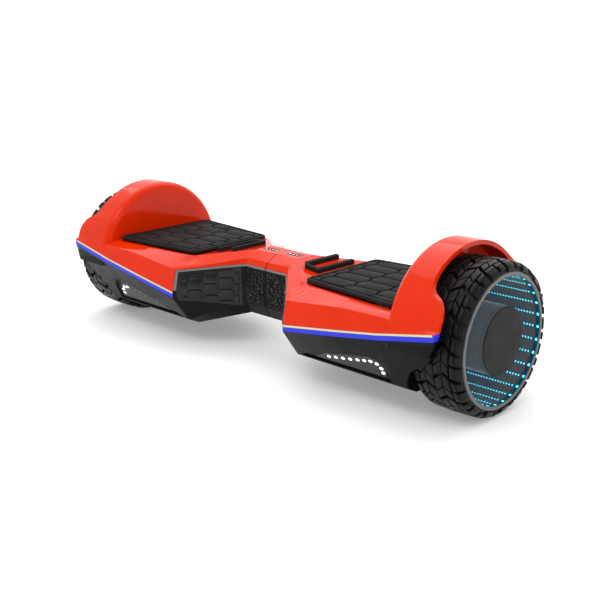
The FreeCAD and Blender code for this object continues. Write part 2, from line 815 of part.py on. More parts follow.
WHEEL = {
    "tyre": [tyre_body()],
    "rim": [rim_body()],
    "inner_cover": [inner_cover_body()],
    "magnets": [pipe("magnet_ring", "@rim_bore", "@rim_bore - @magnet_thickness",
                     "@stator_length + @magnet_overhang * 2", "@stator_start - @magnet_overhang")],
    "wheel_bearings": [
        pipe(f"bearing_{number}", "@bearing_radius", "@axle_radius + @running_clearance", "@bearing_width", x)
        for number, x in enumerate((
            "@rim_inner_face - @cover_thickness",
            "@rim_outer_face - @cover_thickness - @bearing_width",
        ))
    ],
    "mirror": [pipe("mirror_disc", "@bezel_bore", "@hub_cap_radius", "@mirror_thickness",
                    "@window_face - @window_thickness - @mirror_gap - @mirror_thickness")],
    "led_ring": [pipe("led_band", "@tyre_bore", "@bezel_bore", "@window_face - @rim_outer_face",
                      "@rim_outer_face")],
    "wheel_window": [pipe("window_disc", "@bezel_bore", "@hub_cap_radius", "@window_thickness",
                          "@window_face - @window_thickness")],
    "bezel": [pipe("bezel_ring", "@bezel_radius", "@bezel_bore", "@bezel_face - @window_face", "@window_face")],
    "hub_cap": [hub_cap_body()],
}
HALF = {
    "axle": [rod("axle_rod", "@axle_radius", "@axle_end - @axle_start", "@axle_start")],
    "stator": [stator_body()],
    "axle_clamp": [axle_clamp()],
    "screws": screws(),
    "gyro_board": [box("gyro_plate", "@gyro_board_start", "-@gyro_board_half_width", "@clamp_top",
                       "@gyro_board_end - @gyro_board_start", "@gyro_board_half_width * 2", "@board_thickness")],
    "edge_rib": [edge_rib()],
    "foot_pad": [foot_pad()],
}
for side in SIDES:
    node(f"{side}_frame", side, frame(side))
    for name, pieces in {**HALF, **WHEEL}.items():
        node(f"{side}_{name}", side, *pieces)

tube = pipe("tube", "@tube_radius", "@tube_bore", "@tube_half_length * 2", "-@tube_half_length")
groove = pipe("tube_groove", "@tube_radius + @overlap", "@clip_bore", "@clip_width", "@clip_x")
node("centre_tube", "right", cut("tube_with_groove", tube, groove))
node("tube_clip", "right", pipe("clip_ring", "@clip_radius", "@clip_bore", "@clip_width", "@clip_x"))
node("pivot_bushes", "right", *[
    pipe(f"bush_{number}", "@bush_radius", "@tube_radius + @running_clearance", "@bush_length", x)
    for number, x in enumerate(("@boss_start", "@boss_end - @bush_length"))
])
node("battery_pack", "left", battery())
node("charge_socket", "left", charge_socket())
node("charge_port_cap", "left", port_cap())
node("main_board", "right", *main_board())
node("speaker", "right", rod("speaker_can", "@speaker_radius", "@speaker_height", "@speaker_x", "0",
                             "@floor_top", ALONG_Z))
node("power_button", "right", power_button())

doc.recompute()
for made in doc.Objects:
    if {"Invalid", "Error"} & set(made.State):
        raise RuntimeError(f"{made.Name} failed: {made.State}")
for label, made in nodes.items():
    if made.Shape.isNull() or not made.Shape.isValid() or not made.Shape.Solids:
        raise RuntimeError(f"{label} has no valid solid")
    print(f"{label}: {len(made.Shape.Solids)} solids, {made.Shape.Volume / 1000:.1f} cm3")

os.makedirs("parts", exist_ok=True)
for label, made in nodes.items():
    made.Shape.exportStep(f"parts/{label}.step")
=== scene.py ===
import math
import random

import bmesh
import bpy
from mathutils import Matrix, Vector
from mathutils.bvhtree import BVHTree


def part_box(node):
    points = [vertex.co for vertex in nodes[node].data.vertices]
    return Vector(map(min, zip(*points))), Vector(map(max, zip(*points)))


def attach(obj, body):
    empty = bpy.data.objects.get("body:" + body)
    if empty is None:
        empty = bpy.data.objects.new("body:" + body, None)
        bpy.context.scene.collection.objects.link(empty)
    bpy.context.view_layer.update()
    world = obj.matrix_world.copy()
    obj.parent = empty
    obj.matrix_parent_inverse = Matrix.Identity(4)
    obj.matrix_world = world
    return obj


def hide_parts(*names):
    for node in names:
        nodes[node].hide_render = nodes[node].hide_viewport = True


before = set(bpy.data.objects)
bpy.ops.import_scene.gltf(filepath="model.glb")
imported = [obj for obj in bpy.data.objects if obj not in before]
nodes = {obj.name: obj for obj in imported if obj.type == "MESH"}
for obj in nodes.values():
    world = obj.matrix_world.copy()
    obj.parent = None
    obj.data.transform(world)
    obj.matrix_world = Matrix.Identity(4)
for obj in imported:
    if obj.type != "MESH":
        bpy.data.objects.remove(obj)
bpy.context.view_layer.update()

# A self balancing board, in metres, around its CAD model. Most pieces are built for the right half, in
# millimetres, and the left half is the same piece turned half a turn about Z. WAIST_HALF, CORNER_HALF:
# the casing's half widths at WAIST_END and CORNER_X. FRONT: the sign of the photo's side in a half's own Y.

MM = 0.001
SIDES = {"right": Matrix.Identity(4), "left": Matrix.Rotation(math.pi, 4, "Z")}
FRONT = {"right": -1, "left": 1}
WAIST_HALF, WAIST_END, CORNER_X, CASING_END = 33.0, 35.0, 97.0, 306.0
CORNER_HALF = 97.0
AXLE_Z = 85.0
LED_COUNT = 30


# Materials

class Look:
    """A material under construction: the Principled shader, the output and a few helpers."""

    def __init__(self, name, color, roughness, **settings):
        self.material = bpy.data.materials.new(name)
        self.material.use_nodes = True
        self.tree = self.material.node_tree
        self.shader = self.tree.nodes["Principled BSDF"]
        self.material.diffuse_color = (*color, 1)
        self.set("Base Color", (*color, 1))
        self.set("Roughness", roughness)
        for socket, value in settings.items():
            self.set(socket.replace("_", " "), value)

    def set(self, socket, value):
        self.shader.inputs[socket].default_value = value

    def add(self, kind, **settings):
        made = self.tree.nodes.new(kind)
        for name, value in settings.items():
            if name in made.inputs:
                made.inputs[name].default_value = value
            else:
                setattr(made, name, value)
        return made

    def link(self, source, target):
        self.tree.links.new(source, target)

    def noise(self, scale, detail=4.0, stretch=(1, 1, 1)):
        """Noise in the piece's own space; the scale counts features per metre."""
        place = self.add("ShaderNodeTexCoord")
        mapping = self.add("ShaderNodeMapping")
        mapping.inputs["Scale"].default_value = stretch
        made = self.add("ShaderNodeTexNoise", Scale=scale, Detail=detail)
        self.link(place.outputs["Object"], mapping.inputs["Vector"])
        self.link(mapping.outputs["Vector"], made.inputs["Vector"])
        return made.outputs["Fac"]

    def spread(self, source, low, high, socket):
        """The source spread between two values, or two colours, and led to a socket."""
        ramp = self.add("ShaderNodeValToRGB")
        ramp.color_ramp.elements[0].position = 0.3
        ramp.color_ramp.elements[1].position = 0.7
        for element, value in zip(ramp.color_ramp.elements, (low, high)):
            element.color = (*value, 1) if isinstance(value, tuple) else (value, value, value, 1)
        self.link(source, ramp.inputs["Fac"])
        self.link(ramp.outputs["Color"], self.shader.inputs[socket])
        return ramp

    def bump(self, source, strength, distance):
        made = self.add("ShaderNodeBump", Strength=strength, Distance=distance)
        self.link(source, made.inputs["Height"])
        self.link(made.outputs["Normal"], self.shader.inputs["Normal"])


def shade(color, factor):
    return tuple(min(1.0, part * factor) for part in color)


def moulded(name, color, roughness, grain, depth, vary=0.12, **settings):
    """Moulded plastic or rubber: faint mottling in colour and gloss, and a fine grain in its surface."""
    look = Look(name, color, roughness, **settings)
    look.spread(look.noise(25), shade(color, 1 - vary), shade(color, 1 + vary), "Base Color")
    look.spread(look.noise(60, 6), roughness * 0.85, min(1, roughness * 1.15), "Roughness")
    look.bump(look.noise(grain, 3), 0.25, depth)
    return look.material


def glowing(name, color, strength, spill, base=1.0):
    """A lit plastic surface, its glow a little uneven; base is the share of its colour seen unlit."""
    look = Look(name, color, 0.3, Specular_IOR_Level=0.3)
    look.set("Emission Color", (*color, 1))
    look.set("Base Color", (*shade(color, base), 1))
    look.spread(look.noise(40), strength * (1 - spill), strength, "Emission Strength")
    return look.material


def metal(name, color, roughness, stretch=(1, 1, 1), scale=300):
    look = Look(name, color, roughness, Metallic=1.0)
    look.spread(look.noise(scale, 5, stretch), roughness * 0.7, roughness * 1.3, "Roughness")
    look.bump(look.noise(scale * 2, 3, stretch), 0.15, 0.0001)
    return look.material


RED = moulded("red_gloss", (0.70, 0.024, 0.0001), 0.09, 900, 0.00002, 0.04, Specular_IOR_Level=0.17)
BLACK = moulded("black_shell", (0.0055, 0.0055, 0.0057), 0.25, 2500, 0.00004, 0.15, Specular_IOR_Level=0.09)
RUBBER = moulded("black_rubber", (0.019, 0.019, 0.0182), 0.6, 3500, 0.00010, 0.2, Specular_IOR_Level=0.04)
PANEL = moulded("panel_rubber", (0.006, 0.006, 0.0062), 0.22, 3500, 0.00004, 0.2, Specular_IOR_Level=0.3)
TYRE = moulded("tyre_rubber", (0.007, 0.007, 0.0072), 0.32, 2500, 0.00008, 0.25, Specular_IOR_Level=0.14)
CAP = moulded("cap_grey", (0.022, 0.022, 0.0225), 0.6, 2000, 0.00005, 0.06, Specular_IOR_Level=0.1)
BEZEL = moulded("bezel_grey", (0.12, 0.125, 0.13), 0.4, 1500, 0.00004, 0.08, Specular_IOR_Level=0.3)
# The mirror box's wall: grey with a faint glow, which is painted light standing in for the LEDs' light
# falling on it.
WALL_PAINTED_GLOW = glowing("led_wall", (0.056, 0.064, 0.070), 1.0, 0.05, 0.1)
LIP = moulded("grey_lip", (0.15, 0.165, 0.16), 0.35, 1500, 0.00004, 0.1)
SMOKED = moulded("smoked_lens", (0.006, 0.006, 0.007), 0.12, 800, 0.00002, 0.1, Specular_IOR_Level=0.5)
WINDOW_BLACK = moulded("indicator_black", (0.001, 0.001, 0.001), 0.4, 800, 0.00002, 0.1,
                       Specular_IOR_Level=0.02)
BOARD = moulded("circuit_board", (0.02, 0.12, 0.05), 0.4, 1200, 0.0001, 0.2)
BATTERY = moulded("battery_wrap", (0.03, 0.1, 0.4), 0.25, 300, 0.0003, 0.1)
BUSH = moulded("bush_plastic", (0.8, 0.8, 0.77), 0.4, 900, 0.00005, 0.05)
SPEAKER = moulded("speaker_can", (0.03, 0.03, 0.03), 0.5, 1500, 0.0001, 0.1)
CAST = metal("cast_frame", (0.55, 0.55, 0.57), 0.45, scale=500)
STEEL = metal("turned_steel", (0.5, 0.5, 0.52), 0.3, (1, 8, 8), 200)
LAMINATION = metal("laminations", (0.3, 0.26, 0.22), 0.4, (40, 1, 1), 60)
TRIM = moulded("strip_trim", (0.70, 0.62, 0.32), 0.25, 800, 0.00003, 0.05, Specular_IOR_Level=0.3)
BLUE = glowing("strip_blue", (0.012, 0.022, 0.55), 0.18, 0.3)
TEAL = glowing("sleeve_teal", (0.004, 0.05, 0.09), 0.3, 0.3)
CYAN = glowing("led_cyan", (0.06, 0.62, 0.85), 3.0, 0.1)
WHITE_LIGHT = glowing("led_white", (1.0, 1.0, 1.0), 1.5, 0.1)
ICON = glowing("icon_white", (0.9, 0.9, 0.9), 0.4, 0.1)
UNLIT = moulded("unlit_lens", (0.03, 0.032, 0.035), 0.2, 800, 0.00002, 0.1, Specular_IOR_Level=0.5)


def mirror_look():
    look = Look("wheel_mirror", (0.975, 0.985, 0.99), 0.0, Metallic=1.0)
    look.spread(look.noise(30), (0.970, 0.982, 0.988), (0.980, 0.990, 0.994), "Base Color")
    return look.material


def one_way_look():
    """The coated back of the wheel's window: a mirror to the inside, clear from the glass side."""
    look = Look("window_coating", (0.975, 0.985, 0.99), 0.0, Metallic=1.0)
    look.spread(look.noise(30), (0.970, 0.982, 0.988), (0.980, 0.990, 0.994), "Base Color")
    side = look.add("ShaderNodeNewGeometry")
    clear = look.add("ShaderNodeBsdfTransparent")
    mix = look.add("ShaderNodeMixShader")
    output = look.tree.nodes["Material Output"]
    look.link(side.outputs["Backfacing"], mix.inputs["Fac"])
    look.link(look.shader.outputs["BSDF"], mix.inputs[1])
    look.link(clear.outputs["BSDF"], mix.inputs[2])
    look.link(mix.outputs["Shader"], output.inputs["Surface"])
    return look.material


def clear_face_look():
    """The front of the wheel's window: clear, with a thin reflection."""
    look = Look("window_front", (0.34, 0.36, 0.38), 0.3, Specular_IOR_Level=0.1)
    look.bump(look.noise(200), 0.05, 0.00005)
    clear = look.add("ShaderNodeBsdfTransparent")
    clear.inputs["Color"].default_value = (0.92, 0.95, 0.96, 1)
    mix = look.add("ShaderNodeMixShader")
    mix.inputs["Fac"].default_value = 0.03
    output = look.tree.nodes["Material Output"]
    look.link(clear.outputs["BSDF"], mix.inputs[1])
    look.link(look.shader.outputs["BSDF"], mix.inputs[2])
    look.link(mix.outputs["Shader"], output.inputs["Surface"])
    return look.material


MIRROR = mirror_look()
ONE_WAY = one_way_look()
CLEAR = clear_face_look()


# Pieces

def piece(name, mesh_source, material, body, slot, replaces=(), smooth=35, scale=MM):
    """A finished piece from a bmesh in the right half's millimetres, on its body."""
    if scale != 1:
        mesh_source.transform(Matrix.Scale(scale, 4))
    bmesh.ops.recalc_face_normals(mesh_source, faces=mesh_source.faces)
    mesh = bpy.data.meshes.new(name)
    mesh_source.to_mesh(mesh)
    mesh_source.free()
    made = bpy.data.objects.new(name, mesh)
    bpy.context.scene.collection.objects.link(made)
    materials = material if isinstance(material, (list, tuple)) else [material]
    for each in materials:
        mesh.materials.append(each)
    mesh.shade_smooth()
    mesh.set_sharp_from_angle(angle=math.radians(smooth))
    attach(made, body)
    if replaces:
        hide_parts(*replaces)
    return made


def on_side(source, side):
    """A bmesh of the right half turned to its own side."""
    if side == "left":
        source.transform(SIDES["left"])
    return source


def both(name, build, material, body, slot, replaces=(), **settings):
    """The same piece on both sides; body and replaced nodes are named without their side."""
    for side in SIDES:
        piece(f"{side}_{name}", on_side(build(), side), material, f"{side}_{body}", slot,
              [f"{side}_{node}" for node in replaces], **settings)


def softened(node, material, body, slot, width, angle=22, segments=3):
    """A CAD solid with its flat faces merged and its edges rounded, as a moulding's are."""
    source = bmesh.new()
    source.from_mesh(nodes[node].data)
    bmesh.ops.remove_doubles(source, verts=source.verts, dist=1e-5)
    bmesh.ops.dissolve_limit(source, angle_limit=math.radians(1.0), verts=source.verts, edges=source.edges,
                             delimit={"NORMAL"})
    made = piece(f"{node}_moulding", source, material, body, slot, [node], scale=1)
    bevel = made.modifiers.new("edges", "BEVEL")
    bevel.width = width * MM
    bevel.segments = segments
    bevel.limit_method = "ANGLE"
    bevel.angle_limit = math.radians(angle)
    bevel.harden_normals = True
    bevel.use_clamp_overlap = True
    return made


def skin(made, rings):
    """Faces between each closed ring of vertices and the next."""
    for low, high in zip(rings, rings[1:]):
        for i in range(len(low)):
            k = (i + 1) % len(low)
            made.faces.new((low[i], low[k], high[k], high[i]))


def ring_mesh(profile, steps, closed=True):
    """A ring about the wheel's axis from (x, radius) points."""
    made = bmesh.new()
    rows = []
    for i in range(steps):
        turn = 2 * math.pi * i / steps
        rows.append([made.verts.new((x, r * math.sin(turn), AXLE_Z + r * math.cos(turn)))
                     for x, r in profile])
    count = len(profile)
    for i in range(steps):
        first, second = rows[i], rows[(i + 1) % steps]
        for j in range(count if closed else count - 1):
            k = (j + 1) % count
            made.faces.new((first[j], first[k], second[k], second[j]))
    return made


def rounded_profile(corners, radius, steps=4):
    """A closed outline with each corner rounded by an arc."""
    points = []
    count = len(corners)
    for i in range(count):
        here = Vector(corners[i])
        back, ahead = Vector(corners[i - 1]) - here, Vector(corners[(i + 1) % count]) - here
        reach = min(radius, back.length * 0.45, ahead.length * 0.45)
        start, end = here + back.normalized() * reach, here + ahead.normalized() * reach
        for k in range(steps + 1):
            t = k / steps
            points.append(tuple(start * (1 - t) ** 2 + here * 2 * t * (1 - t) + end * t ** 2))
    return points


# Tiles of moulded rubber

def left_part(polygon, start, edge):
    """The polygon's part to the left of a line."""
    kept = []
    for p, q in zip(polygon, polygon[1:] + polygon[:1]):
        inside_p = edge.cross(p - start) >= 0
        inside_q = edge.cross(q - start) >= 0
        if inside_p:
            kept.append(p)
        if inside_p != inside_q:
            t = edge.cross(start - p) / edge.cross(q - p)
            kept.append(p + (q - p) * t)
    return kept


def without_short_edges(polygon, shortest):
    """The polygon without the corners that lie close to the next; empty if under three are left."""
    clean = [p for p, q in zip(polygon, polygon[1:] + polygon[:1]) if (q - p).length > shortest]
    return clean if len(clean) > 2 else []


def clipped(polygon, border):
    """The polygon's part inside a convex border, both anticlockwise."""
    result = list(polygon)
    for a, b in zip(border, border[1:] + border[:1]):
        result = left_part(result, a, b - a)
        if len(result) < 3:
            return []
    return without_short_edges(result, 0.2)


def shrunk(polygon, distance):
    """A convex anticlockwise polygon moved in by a distance; empty if nothing is left."""
    result = [p.copy() for p in polygon]
    for a, b in zip(polygon, polygon[1:] + polygon[:1]):
        inward = Vector((-(b - a).y, (b - a).x)).normalized() * distance
        result = left_part(result, a + inward, b - a)
        if len(result) < 3:
            return []
    return without_short_edges(result, 0.15)


def area_of(polygon):
    return abs(sum(p.cross(q) for p, q in zip(polygon, polygon[1:] + polygon[:1]))) / 2


SMALLEST_TILE = 12
TILE_BLUNTING = 1.3


def hexagons(border, length, width, point, gap, origin):
    """Elongated hexagons that fill a convex border, with long edges along u and a gap between them."""
    pitch = length - point
    half, side, tip = length / 2, length / 2 - point, width / 2
    corners = [Vector(c) for c in ((half, 0), (side, tip), (-side, tip),
                                   (-half, 0), (-side, -tip), (side, -tip))]
    found = []
    for i in range(-9, 10):
        for j in range(-9, 10):
            centre = Vector(origin) + Vector((i * pitch, (j + 0.5 * (i % 2)) * width))
            shape = clipped([centre + corner for corner in corners], border)
            shape = shrunk(shape, gap / 2) if shape else []
            if shape and area_of(shape) > SMALLEST_TILE:
                found.append(blunted(shape, TILE_BLUNTING))
    return found


def blunted(polygon, cut):
    """The polygon with its corners cut off, as the moulded tiles' are."""
    result = []
    for back, here, ahead in zip(polygon[-1:] + polygon[:-1], polygon, polygon[1:] + polygon[:1]):
        for other in (back, ahead):
            away = other - here
            result.append(here + away.normalized() * min(cut, away.length * 0.4))
    return result


def add_tile(made, polygon, place, height, slope=0.5):
    """A raised tile: a step-rounded frustum over the polygon; place maps (u, v, height) to space."""
    inner = shrunk(polygon, slope)
    middle = shrunk(polygon, slope * 0.35)
    levels = [(polygon, -0.4), (polygon, height - slope), (middle, height - slope * 0.3), (inner, height)]
    if not inner or not middle or len(inner) != len(polygon) or len(middle) != len(polygon):
        levels = [(polygon, -0.4), (polygon, height)]
    rings = [[made.verts.new(place(p.x, p.y, level)) for p in shape] for shape, level in levels]
    skin(made, rings)
    made.faces.new(rings[-1])


PAD_INNER_HALF, PAD_OUTER_HALF = 64.0, 78.0
PAD_BORDER, PAD_CORNER, PAD_THICKNESS = 5.0, 9.0, 5.6
PAD_TILE = {"length": 46, "width": 25, "point": 4.5, "gap": 2.2, "origin": (132.75, 2.5)}
TILE_RISE, TILE_EDGE = 1.8, 0.6


def rounded_outline(corners, radius, steps=6):
    return [Vector(p) for p in rounded_profile(corners, radius, steps)]


def foot_pad_mesh():
    """The rubber foot pad: a rounded plate with a bevelled border round a field of hexagonal tiles."""
    low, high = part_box("right_foot_pad")
    x0, x1, top = low.x / MM, high.x / MM, high.z / MM
    bottom = top - PAD_THICKNESS
    corners = [(x0, -PAD_INNER_HALF), (x1, -PAD_OUTER_HALF), (x1, PAD_OUTER_HALF), (x0, PAD_INNER_HALF)]
    outer = rounded_outline(corners, PAD_CORNER)
    made = bmesh.new()

    def level(distance, z):
        ring = []
        for i, p in enumerate(outer):
            along = (outer[(i + 1) % len(outer)] - outer[i - 1]).normalized()
            inward = Vector((-along.y, along.x))
            q = p + inward * distance
            ring.append(made.verts.new((q.x, q.y, z)))
        return ring

    underside = [(2.8, bottom + 0.2), (0.0, bottom + 2.2)]
    rim = [(0.0, top - 1.6), (0.5, top - 0.6), (1.4, top),
           (PAD_BORDER - 1.2, top), (PAD_BORDER - 0.6, top - 0.2)]
    field_edge = [(PAD_BORDER - 0.2, top - TILE_RISE + 0.1), (PAD_BORDER + 1.0, top - TILE_RISE)]
    rings = [level(distance, z) for distance, z in underside + rim + field_edge]
    skin(made, rings)
    made.faces.new(rings[-1])
    made.faces.new(list(reversed(rings[0])))
    field = [Vector(c) for c in corners]
    field = shrunk(field, PAD_BORDER + 0.8)
    for tile in hexagons(field, **PAD_TILE):
        add_tile(made, tile, lambda u, v, h: (u, v, top - TILE_RISE + h), TILE_RISE, TILE_EDGE)
    return made


def foot_pads():
    for side in SIDES:
        made = piece(f"{side}_pad", on_side(foot_pad_mesh(), side), RUBBER, f"{side}_pad", "rubber_black",
                     [f"{side}_foot_pad"], smooth=28)


WALL_TILE = {"length": 22.2, "width": 15.5, "point": 2.6, "gap": 1.8}
WALL_TILE_RISE = 1.5
WALL_INSET, WALL_TILE_MIDDLE = 8, 80
WALL_BOTTOM, WALL_TOP = (57, 66), (106, 99)
WALL_STAND_OFF = 30


def wall_tiles(side):
    """Tiles on the slanted walls beside the waist, laid on the rubber panel of the CAD model."""
    panel = bmesh.new()
    panel.from_mesh(nodes[f"{side}_inner_panels"].data)
    tree = BVHTree.FromBMesh(panel)
    panel.free()
    made = bmesh.new()
    for end in (-1, 1):
        near, far = Vector((WAIST_END, WAIST_HALF * end)), Vector((CORNER_X, CORNER_HALF * end))
        along = (far - near).normalized()
        outward = Vector((along.y, -along.x))
        outward = outward if outward.y * end > 0 else -outward
        length = (far - near).length

        def place(u, v, h):
            foot = near + along * u
            start = Vector((foot.x, foot.y, v)) + Vector((outward.x, outward.y, 0)) * WALL_STAND_OFF
            aim = -Vector((outward.x, outward.y, 0))
            start_m = SIDES[side] @ (start * MM)
            aim_m = SIDES[side].to_3x3() @ aim
            hit, normal, _, _ = tree.ray_cast(start_m, aim_m, 2 * WALL_STAND_OFF * MM)
            if hit is None:
                hit, normal, _, _ = tree.find_nearest(start_m + aim_m * WALL_STAND_OFF * MM)
            normal = normal if normal.dot(aim_m) < 0 else -normal
            return hit + normal * (h * MM)

        start_u, end_u = WALL_INSET, length - WALL_INSET
        border = [Vector((start_u, WALL_BOTTOM[0])), Vector((end_u, WALL_BOTTOM[1])),
                  Vector((end_u, WALL_TOP[1])), Vector((start_u, WALL_TOP[0]))]
        for tile in hexagons(border, origin=(length * 0.5, WALL_TILE_MIDDLE), **WALL_TILE):
            add_tile(made, tile, place, WALL_TILE_RISE, TILE_EDGE)
    return made


def panel_tiles():
    for side in SIDES:
        piece(f"{side}_wall_tiles", wall_tiles(side), PANEL, f"{side}_half", "rubber_black",
              smooth=28, scale=1)


# Trim laid on the casing

def surface_of(*names):
    """A search tree over CAD nodes of the right half, in its millimetres."""
    joined = bmesh.new()
    for name in names:
        joined.from_mesh(nodes[f"right_{name}"].data)
    joined.transform(Matrix.Scale(1 / MM, 4))
    tree = BVHTree.FromBMesh(joined)
    joined.free()
    return tree


def touch(tree, x, z, end):
    """The casing's surface and its outward normal at (x, z), seen from the side at end: -1 or 1."""
    place, normal, _, _ = tree.ray_cast(Vector((x, end * 150, z)), Vector((0, -end, 0)))
    if place is None:
        return None
    return place, normal if normal.y * end > 0 else -normal


RIBBON_ROOT = 0.3


def ribbon(made, tree, line, width, rise, end, steps=24):
    """A thin raised band along an (x, z) line on the casing, its width below or beside the line."""
    rows = []
    for (x0, z0), (x1, z1) in zip(line, line[1:]):
        for i in range(steps):
            t = i / steps
            rows.append((x0 + (x1 - x0) * t, z0 + (z1 - z0) * t))
    rows.append(line[-1])
    last = None
    for (x, z), (wx, wz) in zip(rows, widths_of(rows, width)):
        found = [touch(tree, x, z, end), touch(tree, x + wx, z + wz, end)]
        if not all(found):
            last = None
            continue
        (low, n0), (high, n1) = found
        section = (low - n0 * RIBBON_ROOT, low + n0 * rise, high + n1 * rise, high - n1 * RIBBON_ROOT)
        ring = [made.verts.new(p) for p in section]
        if last:
            skin(made, [last, ring])
        last = ring


def widths_of(rows, width):
    """The step across a line at each of its points: to the right of its direction."""
    steps = []
    for i in range(len(rows)):
        (x0, z0), (x1, z1) = rows[max(i - 1, 0)], rows[min(i + 1, len(rows) - 1)]
        across = Vector((z1 - z0, x0 - x1)).normalized() * width
        steps.append((across.x, across.y))
    return steps


def lips(tree):
    """The grey lip under the red edge along the waist and the slanted walls, and down the corner."""
    made = bmesh.new()
    for end in (-1, 1):
        ribbon(made, tree, [(0.8, 111.9), (WAIST_END, 111.9), (CORNER_X - 0.5, 104.3)], 2.6, 0.5, end)
        ribbon(made, tree, [(CORNER_X - 0.4, 103.9), (CORNER_X - 0.4, 79)], 2.4, 0.5, end)
    return made


def strip_trims(tree):
    """The pale line along the top of each light strip."""
    low = [(CORNER_X + 0.5, 77.0), (178, 89.0), (232, 97.7), (CASING_END - 3, 111.9)]
    made = bmesh.new()
    for end in (-1, 1):
        ribbon(made, tree, low, 2.2, 0.0, end)
    return made


FITTING = Vector((18.0, 90.0))
FITTING_CLEARANCE = 13.0
RELIEF_X, RELIEF_Z = (2.5, 33.5), (64, 107)
RELIEF_GAP, RELIEF_EDGE = 0.55, 0.35
RELIEF_SEED = 7


def waist_relief(seed, front):
    """Small irregular facets on the front and back of the waist, but not round the fitting in the back."""
    chance = random.Random(seed)
    made = bmesh.new()
    columns, rows = 5, 8
    (x0, x1), (z0, z1) = RELIEF_X, RELIEF_Z
    for end in (-1, 1):
        grid = {}
        for i in range(columns + 1):
            for j in range(rows + 1):
                loose_x = 0 if i in (0, columns) else chance.uniform(-2.0, 2.0)
                loose_z = 0 if j in (0, rows) else chance.uniform(-1.8, 1.8)
                x = x0 + (x1 - x0) * i / columns + loose_x
                z = z0 + (z1 - z0) * j / rows + loose_z
                grid[i, j] = Vector((x, z))
        for i in range(columns):
            for j in range(rows):
                a, b, c, d = grid[i, j], grid[i + 1, j], grid[i + 1, j + 1], grid[i, j + 1]
                pairs = [(a, b, c), (a, c, d)] if chance.random() < 0.5 else [(a, b, d), (b, c, d)]
                for triangle in pairs:
                    shape = shrunk(list(triangle), RELIEF_GAP)
                    if not shape:
                        continue
                    height = chance.uniform(0.5, 1.6)
                    middle = sum(shape, Vector((0, 0))) / len(shape)
                    if end == -front and (middle - FITTING).length < FITTING_CLEARANCE:
                        continue
                    add_tile(made, shape, lambda u, v, h: (u, end * (WAIST_HALF + h), v), height, RELIEF_EDGE)
    return made


def dome(made, centre, along, up, out, levels, length, width, sides):
    """A low lit lens: an ellipse per level (share of the size, height along out), closed by the last."""
    rings = []
    for share, lift in levels:
        ring = []
        for k in range(sides):
            turn = 2 * math.pi * k / sides
            point = centre + out * lift + along * math.cos(turn) * length / 2 * share
            ring.append(made.verts.new(point + up * math.sin(turn) * width / 2 * share))
        rings.append(ring)
    skin(made, rings)
    made.faces.new(rings[-1])


HEADLIGHTS = [(150, 47.6), (161, 49.4), (172, 51.2), (183, 53.0), (194, 55.0),
              (204, 57.0), (213, 58.4), (221, 57.2), (225.5, 52.5), (226.5, 47.0)]
HEADLIGHT_LEVELS = ((1.0, -0.2), (0.92, 0.36), (0.6, 0.6))
LIT = {"right": (HEADLIGHTS, []), "left": (HEADLIGHTS[-4:], HEADLIGHTS[:-4])}


def headlights(side, places):
    """Lenses in the recess: the left half's recess is the right half's seen in a mirror."""
    made = bmesh.new()
    tree = surface_of("headlight_lens")
    for x, z in places:
        spot = touch(tree, x, z, -1)
        if spot:
            centre, normal = spot
            along = (Vector((1, 0, 0)) - normal * normal.x).normalized()
            dome(made, centre, along, normal.cross(along), normal, HEADLIGHT_LEVELS, 5.4, 3.8, 16)
    if side == "left":
        made.transform(Matrix.Scale(-1, 4, Vector((1, 0, 0))))
        bmesh.ops.reverse_faces(made, faces=made.faces)
    return made


def rectangle(x0, y0, x1, y1):
    return [(x0, y0), (x1, y0), (x1, y1), (x0, y1)]


def icon_outlines():
    """Generic signs, as convex outlines: a battery, a ring, a triangle and three bars."""
    ring = []
    for k in range(12):
        a, b = 2 * math.pi * k / 12, 2 * math.pi * (k + 1) / 12
        ring.append([(r * math.cos(turn), r * math.sin(turn))
                     for r, turn in ((1.9, a), (1.9, b), (1.2, b), (1.2, a))])
    return [
        [rectangle(-2.0, -1.1, 1.6, 1.1), rectangle(1.6, -0.5, 2.1, 0.5)],
        ring,
        [[(-1.9, -1.4), (1.9, -1.4), (0, 1.8)]],
        [rectangle(x, -1.6, x + 0.7, top) for x, top in ((-1.7, -0.3), (-0.4, 0.6), (0.9, 1.6))],
    ]


ICON_START, ICON_PITCH = 12.0, 5.7
ICON_SHIFT, ICON_SQUEEZE = -1.6, 0.9


def icons(front):
    """White signs on the indicator window, which stand just proud of it."""
    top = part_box("right_indicator_window")[1].z / MM
    made = bmesh.new()
    for number, sign in enumerate(icon_outlines()):
        x = ICON_START + ICON_PITCH * number
        for shape in sign:
            flat = [(x + u, -front * (ICON_SHIFT + v * ICON_SQUEEZE)) for u, v in shape]
            rings = [[made.verts.new((*spot, top + lift)) for spot in flat] for lift in (-0.1, 0.12)]
            skin(made, rings)
            made.faces.new(rings[-1])
    return made


def trims():
    casing_tree = surface_of("upper_shell", "lower_shell", "inner_panels")
    strip_tree = surface_of("light_strips")
    for side, front in FRONT.items():
        body = f"{side}_half"
        piece(f"{side}_grey_lip", on_side(lips(casing_tree), side), LIP, body, "shell_black", smooth=60)
        piece(f"{side}_strip_trim", on_side(strip_trims(strip_tree), side), TRIM, body, "strip_blue",
              smooth=60)
        piece(f"{side}_waist_relief", on_side(waist_relief(RELIEF_SEED, front), side), PANEL, body,
              "rubber_black", smooth=20)
        lit, unlit = LIT[side]
        piece(f"{side}_headlight_domes", headlights(side, lit), WHITE_LIGHT, body, "headlight", smooth=60)
        if unlit:
            piece(f"{side}_unlit_domes", headlights(side, unlit), UNLIT, body, "headlight", smooth=60)
        piece(f"{side}_icons", on_side(icons(front), side), ICON, body, "dark_window")


# Wheels

